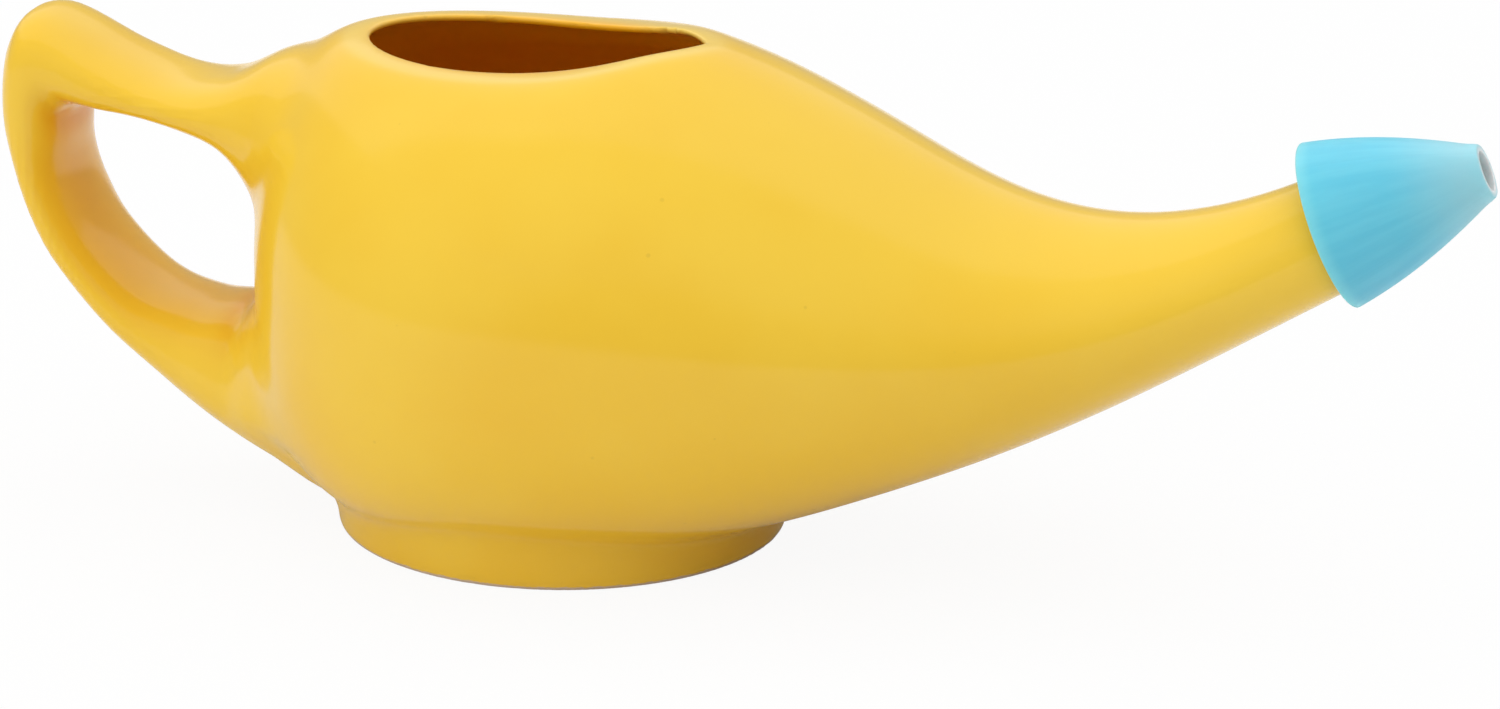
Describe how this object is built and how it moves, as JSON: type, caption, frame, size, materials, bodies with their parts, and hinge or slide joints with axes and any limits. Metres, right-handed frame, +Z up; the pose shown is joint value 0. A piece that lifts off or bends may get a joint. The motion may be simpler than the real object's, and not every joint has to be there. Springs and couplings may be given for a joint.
{
  "type": "neti pot",
  "caption": "Glazed stoneware nasal rinsing pot: egg-shaped body on a foot ring, loop handle, teardrop mouth and long tapered spout with a soft slip-on nose tip.",
  "frame": {"origin": "on the table, at the middle of the foot's flat underside", "axes": "+X from the handle towards the spout's end, +Z up, +Y to the pot's left"},
  "size_m": [0.1963, 0.084, 0.0658],
  "materials": {
    "glazed_stoneware": null,
    "soft_silicone": "translucent sky-blue silicone with a satin surface"
  },
  "bodies": {
    "pot": {"pot": "glazed_stoneware"},
    "nose_tip": {"nose_tip": "soft_silicone"}
  },
  "joints": [
    {"name": "tip_pull", "type": "slide", "parent": "pot", "child": "nose_tip", "axis": [0.91, 0, 0.4147], "range_m": [0, 0.03]}
  ]
}
